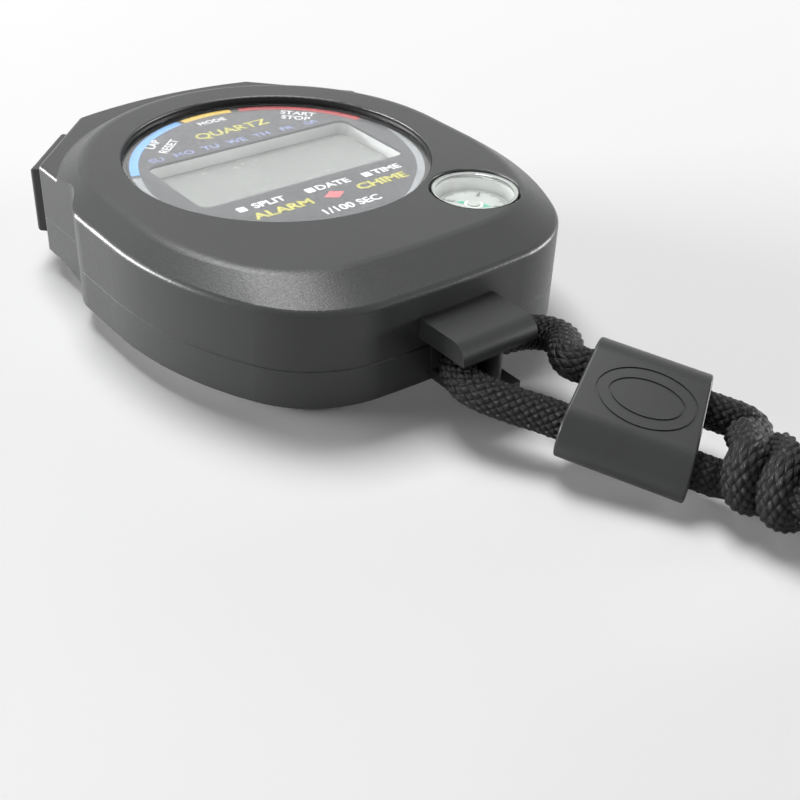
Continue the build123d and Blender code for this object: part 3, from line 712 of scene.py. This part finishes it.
def braided(name, line):
    """A closed braided tube along a line, with its braid as real relief and a UV for the fibres."""
    line, at = stepped(line)
    sides, ups = carried_frames(line)
    around = np.arange(rope_ring) / rope_ring
    turn = 2 * np.pi * around
    u = around * braid_columns
    v = at / braid_pick
    height = braid_height(u[None, :], v[:, None])
    reach = rope_radius - braid_relief + braid_relief * height
    rings = line[:, None, :] + reach[:, :, None] * (
        np.cos(turn)[None, :, None] * sides[:, None, :] + np.sin(turn)[None, :, None] * ups[:, None, :])
    count = len(line)
    verts = np.concatenate([rings.reshape(-1, 3), line[:1], line[-1:]])
    i, j = np.meshgrid(np.arange(count - 1), np.arange(rope_ring), indexing="ij")
    k = (j + 1) % rope_ring
    here, there = i * rope_ring, (i + 1) * rope_ring
    quads = np.stack([here + j, here + k, there + k, there + j], -1).reshape(-1, 4)
    first, last = count * rope_ring, count * rope_ring + 1
    caps = [(first, (n + 1) % rope_ring, n) for n in range(rope_ring)]
    base = (count - 1) * rope_ring
    caps += [(last, base + n, base + (n + 1) % rope_ring) for n in range(rope_ring)]
    mesh = bpy.data.meshes.new(name)
    mesh.from_pydata(verts.tolist(), [], quads.tolist() + caps)
    layer = mesh.uv_layers.new(name="braid")
    ju = np.stack([j, j + 1, j + 1, j], -1).reshape(-1) / rope_ring * braid_columns
    iv = np.stack([v[i], v[i], v[i + 1], v[i + 1]], -1).reshape(-1)
    flat = np.zeros(len(mesh.loops) * 2, np.float32)
    flat[0:2 * len(ju):2] = ju
    flat[1:2 * len(iv):2] = iv
    layer.data.foreach_set("uv", flat)
    mesh.shade_smooth()
    mesh.materials.append(rope_black)
    piece = add_object(name, mesh)
    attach(piece, "case")
    return piece


rope_line = smooth_line(rope_route())
rope = braided("lanyard_rope", rope_line)
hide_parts("lanyard_strand_left", "lanyard_strand_right", "lanyard_tail_out", "lanyard_tail_back",
            "lanyard_coil")


# ---------------------------------------------------------------- knot
knot_centre = Vector((15.3, -90.0, 8.4))
knot_heading = 0.20
knot_axis = Vector((math.sin(knot_heading), -math.cos(knot_heading), 0))
knot_side = Vector((math.cos(knot_heading), math.sin(knot_heading), 0))
wrap_radius = 5.35
wrap_pitch = 9.4
wrap_turns = 1.15
wrap_steps = 22
wrap_start_angle = 2.5
wrap_slant, wrap_slant_phase = 1.3, 0.6
core_radius = 1.8
tuck_along, tuck_across, tuck_up = 8.0, 1.5, 0.5


def knot_point(along, across, up):
    return tuple(knot_centre + knot_axis * along + knot_side * across + Vector((0, 0, 1)) * up)


def wrap_route(shift):
    """One cord's turn round the knot: out of the core, round it on a slant, and back in."""
    points = [knot_point(shift - tuck_along, tuck_across, tuck_up)]
    for n in range(wrap_steps + 1):
        share = n / wrap_steps
        angle = wrap_start_angle + 2 * math.pi * wrap_turns * share
        ease = min(1.0, 5 * share, 5 * (1 - share))
        radius = core_radius + (wrap_radius - core_radius) * ease ** 0.7
        slant = wrap_slant * math.sin(angle + wrap_slant_phase)
        along = shift + (share - 0.5) * wrap_pitch * wrap_turns + slant
        points.append(knot_point(along, radius * math.cos(angle), radius * math.sin(angle)))
    points.append(knot_point(shift + tuck_along, -tuck_across, -tuck_up))
    return points


knot_pieces = [braided(f"knot_turn_{number}", smooth_line(wrap_route(shift)))
               for number, shift in ((1, -2.3), (2, 2.3))]
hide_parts("lanyard_knot")


# ---------------------------------------------------------------- floor, light and view
backdrop_white = 0.95
backdrop_near, backdrop_far = 0.22, 0.75
floor_half = 4.0
room_lean = (0.0, 1.0, 0.9)
room_side_share = 0.4
room_lean_full = 1.2
room_dim, room_bright = 0.62, 1.12


def make_floor():
    corners = ((-floor_half, -floor_half), (floor_half, -floor_half), (floor_half, floor_half),
               (-floor_half, floor_half))
    mesh = bpy.data.meshes.new("floor")
    mesh.from_pydata([(x, y, 0) for x, y in corners], [], [(0, 1, 2, 3)])
    floor = add_object("floor", mesh)
    s = Shader("floor_pale")
    s.set(Roughness=0.75, Specular_IOR_Level=0.15, Base_Color=(0.94, 0.94, 0.94, 1))
    distance = s.node("ShaderNodeVectorMath", "LENGTH")
    s.link(s.place((1, 1, 1)), distance.inputs[0])
    far = s.map_range(distance.outputs["Value"], backdrop_near, backdrop_far, smooth=True)
    backdrop = s.node("ShaderNodeEmission", Strength=backdrop_white)
    s.mix(s.math("MULTIPLY", far, s.seen_directly()), s.shader, backdrop, s.surface)
    mesh.materials.append(s.material)


def area_light(name, at, aim, size, power):
    data = bpy.data.lights.new(name, "AREA")
    data.shape = "RECTANGLE"
    data.size, data.size_y = size
    data.energy = power
    lamp = add_object(name, data)
    lamp.location = at
    lamp.rotation_euler = (Vector(aim) - Vector(at)).to_track_quat("-Z", "Y").to_euler()


def make_world():
    """A white room, bright above, behind and to the sides of the object and dim on the near side."""
    world = bpy.data.worlds.new("studio")
    world.use_nodes = True
    tree = Tree(world.node_tree)
    directions = tree.node("ShaderNodeTexCoord").outputs["Generated"]
    back_and_up = tree.node("ShaderNodeVectorMath", "DOT_PRODUCT")
    back_and_up.inputs[1].default_value = room_lean
    tree.link(directions, back_and_up.inputs[0])
    parts = tree.node("ShaderNodeSeparateXYZ")
    tree.link(directions, parts.inputs[0])
    sideways = tree.math("MULTIPLY", tree.math("ABSOLUTE", parts.outputs["X"]), room_side_share)
    lean = tree.math("ADD", sideways, back_and_up.outputs["Value"])
    ambient = world.node_tree.nodes["Background"]
    tree.link(tree.map_range(lean, 0.0, room_lean_full, room_dim, room_bright, smooth=True),
              ambient.inputs["Strength"])
    white = tree.node("ShaderNodeBackground", Color=(1, 1, 1, 1), Strength=backdrop_white)
    surface = world.node_tree.nodes["World Output"].inputs["Surface"]
    tree.mix(tree.seen_directly(), ambient, white, surface)
    bpy.context.scene.world = world


make_floor()
make_world()
area_light("top_lamp", (0.20, 1.30, 2.90), (0, -0.02, 0), (1.60, 1.60), 80.0)
area_light("left_lamp", (-0.93, 0.93, 0.13), (0, 0, 0.01), (0.9, 0.24), 36.0)
area_light("right_lamp", (1.10, -0.50, 0.12), (0, -0.02, 0.01), (0.75, 0.22), 12.0)
bpy.context.scene.view_settings.view_transform = "Standard"
